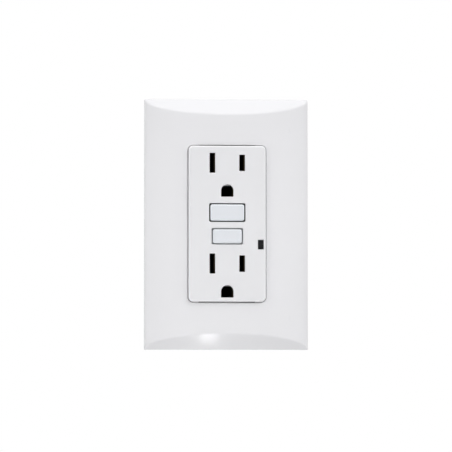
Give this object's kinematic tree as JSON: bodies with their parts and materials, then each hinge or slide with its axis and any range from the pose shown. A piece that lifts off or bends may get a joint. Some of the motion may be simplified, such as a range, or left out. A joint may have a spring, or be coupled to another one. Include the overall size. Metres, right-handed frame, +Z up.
{
  "type": "ground fault circuit interrupter outlet",
  "caption": "Duplex receptacle with ground fault protection, reset and test buttons, indicator lens, mounting strap, side terminals and a crowned screwless wall plate.",
  "frame": {"origin": "centre of the two box screws, in the plane of the wall's surface", "axes": "+X right, +Z up, +Y into the wall; the face looks along -Y"},
  "size_m": [0.07, 0.0407, 0.107],
  "materials": {
    "plate_white": "smooth gloss white",
    "face_white": "satin white",
    "button_white": "satin white",
    "lens_dark": "dark smoked lens",
    "led_clear": "clear tinted dome",
    "housing_grey": "dark grey moulded",
    "middle_grey": "grey moulded",
    "subplate_grey": "light grey moulded",
    "zinc_steel": "zinc plated",
    "screw_steel": "bright plated",
    "brass": "stamped brass",
    "nickel": "nickel plated",
    "green_screw": "green",
    "fibre": "pressed fibre",
    "spring_steel": "bright wire",
    "latch_black": "black moulded",
    "copper": "enamelled copper wire",
    "ferrite": "ferrite",
    "board_green": "glass-fibre board",
    "chip_black": "moulded",
    "varistor_blue": "dipped",
    "resistor_tan": "dipped"
  },
  "bodies": {
    "device": {"sub_plate": "subplate_grey", "mounting_strap": "zinc_steel", "face_cover": "face_white", "middle_housing": "middle_grey", "rear_housing": "housing_grey", "ground_contact_upper": "brass", "ground_contact_lower": "brass", "load_hot_contact": "brass", "load_neutral_contact": "brass", "line_hot_terminal": "brass", "line_neutral_terminal": "brass", "mounting_screws": "screw_steel", "retaining_washers": "fibre", "housing_screws": "screw_steel", "reset_spring": "spring_steel", "test_spring": "brass", "test_contact": "brass", "breaker_spring_right": "spring_steel", "breaker_spring_left": "spring_steel", "solenoid_frame": "zinc_steel", "solenoid_bobbin": "latch_black", "solenoid_coil": "copper", "plunger_spring": "spring_steel", "transformer_case": "latch_black", "sense_core": "ferrite", "neutral_core": "ferrite", "circuit_board": "board_green", "controller_chip": "chip_black", "thyristor": "chip_black", "varistor": "varistor_blue", "capacitor": "latch_black", "resistors": "resistor_tan", "diodes": "chip_black", "indicator_lens": "lens_dark", "indicator_led": "led_clear"},
    "plate": {"wall_plate": "plate_white"},
    "reset": {"reset_button": "button_white", "reset_pin": "screw_steel"},
    "test": {"test_button": "button_white"},
    "carriage": {"contact_carriage": "latch_black"},
    "latch": {"latch_plate": "spring_steel"},
    "armature": {"plunger": "screw_steel"},
    "hot_arm": {"hot_contact_arm": "brass"},
    "neutral_arm": {"neutral_contact_arm": "brass"},
    "ground_clamp_washer": {"ground_washer": "green_screw"},
    "ground_terminal_screw": {"ground_screw": "green_screw"},
    "line_hot_terminal_screw": {"line_hot_screw": "brass"},
    "line_hot_clamp_plate": {"line_hot_clamp": "brass"},
    "line_neutral_terminal_screw": {"line_neutral_screw": "nickel"},
    "line_neutral_clamp_plate": {"line_neutral_clamp": "nickel"},
    "load_hot_terminal_screw": {"load_hot_screw": "brass"},
    "load_hot_clamp_plate": {"load_hot_clamp": "brass"},
    "load_neutral_terminal_screw": {"load_neutral_screw": "nickel"},
    "load_neutral_clamp_plate": {"load_neutral_clamp": "nickel"}
  },
  "joints": [
    {"name": "plate_pull_off", "type": "slide", "parent": "device", "child": "plate", "axis": [0, -1, 0], "range_m": [0, 0.02]},
    {"name": "reset_press", "type": "slide", "parent": "device", "child": "reset", "axis": [0, 1, 0], "range_m": [-0.0015, 0.0015], "stiffness_N_per_m": 600, "deforming": ["reset_spring"]},
    {"name": "test_press", "type": "slide", "parent": "device", "child": "test", "axis": [0, 1, 0], "range_m": [0, 0.0012], "stiffness_N_per_m": 500, "deforming": ["test_spring"]},
    {"name": "carriage_drop", "type": "slide", "parent": "device", "child": "carriage", "axis": [0, 1, 0], "range_m": [0, 0.0018], "stiffness_N_per_m": 500, "deforming": ["breaker_spring_right", "breaker_spring_left"]},
    {"name": "armature_stroke", "type": "slide", "parent": "device", "child": "armature", "axis": [0, 0, -1], "range_m": [0, 0.0015], "stiffness_N_per_m": 300, "deforming": ["plunger_spring"]},
    {"name": "latch_shift", "type": "slide", "parent": "carriage", "child": "latch", "axis": [0, 0, -1], "range_m": [0, 0.0015]},
    {"name": "hot_arm_swing", "type": "hinge", "parent": "device", "child": "hot_arm", "pos_m": [0.006, 0.0149, -0.019], "axis": [-1, 0, 0], "range_deg": [0, 5.5]},
    {"name": "neutral_arm_swing", "type": "hinge", "parent": "device", "child": "neutral_arm", "pos_m": [-0.006, 0.0149, -0.019], "axis": [-1, 0, 0], "range_deg": [0, 5.5]},
    {"name": "line_hot_screw_turn", "type": "hinge", "parent": "device", "child": "line_hot_terminal_screw", "pos_m": [0.018, 0.018, -0.02], "axis": [-1, 0, 0], "range_deg": [0, 1082]},
    {"name": "line_hot_clamp_travel", "type": "slide", "parent": "device", "child": "line_hot_clamp_plate", "axis": [1, 0, 0], "range_m": [0, 0.00238]},
    {"name": "line_neutral_screw_turn", "type": "hinge", "parent": "device", "child": "line_neutral_terminal_screw", "pos_m": [-0.018, 0.018, -0.02], "axis": [1, 0, 0], "range_deg": [0, 1082]},
    {"name": "line_neutral_clamp_travel", "type": "slide", "parent": "device", "child": "line_neutral_clamp_plate", "axis": [-1, 0, 0], "range_m": [0, 0.00238]},
    {"name": "load_hot_screw_turn", "type": "hinge", "parent": "device", "child": "load_hot_terminal_screw", "pos_m": [0.018, 0.018, 0.02], "axis": [-1, 0, 0], "range_deg": [0, 1082]},
    {"name": "load_hot_clamp_travel", "type": "slide", "parent": "device", "child": "load_hot_clamp_plate", "axis": [1, 0, 0], "range_m": [0, 0.00238]},
    {"name": "load_neutral_screw_turn", "type": "hinge", "parent": "device", "child": "load_neutral_terminal_screw", "pos_m": [-0.018, 0.018, 0.02], "axis": [1, 0, 0], "range_deg": [0, 1082]},
    {"name": "load_neutral_clamp_travel", "type": "slide", "parent": "device", "child": "load_neutral_clamp_plate", "axis": [-1, 0, 0], "range_m": [0, 0.00238]},
    {"name": "ground_washer_travel", "type": "slide", "parent": "device", "child": "ground_clamp_washer", "axis": [0, 0, 1], "range_m": [0, 0.00159]},
    {"name": "ground_screw_turn", "type": "hinge", "parent": "ground_clamp_washer", "child": "ground_terminal_screw", "pos_m": [-0.009, 0.007, -0.0409], "axis": [0, 0, 1], "range_deg": [0, 722]}
  ],
  "couplings": [
    {"joint": "latch_shift", "follows": "armature_stroke", "ratio": 1},
    {"joint": "hot_arm_swing", "follows": "carriage_drop", "rad_per_m": 52.632},
    {"joint": "neutral_arm_swing", "follows": "carriage_drop", "rad_per_m": 52.632},
    {"joint": "line_hot_screw_turn", "follows": "line_hot_clamp_travel", "rad_per_m": 7913.3},
    {"joint": "line_neutral_screw_turn", "follows": "line_neutral_clamp_travel", "rad_per_m": 7913.3},
    {"joint": "load_hot_screw_turn", "follows": "load_hot_clamp_travel", "rad_per_m": 7913.3},
    {"joint": "load_neutral_screw_turn", "follows": "load_neutral_clamp_travel", "rad_per_m": 7913.3},
    {"joint": "ground_screw_turn", "follows": "ground_washer_travel", "rad_per_m": 7913.3}
  ]
}
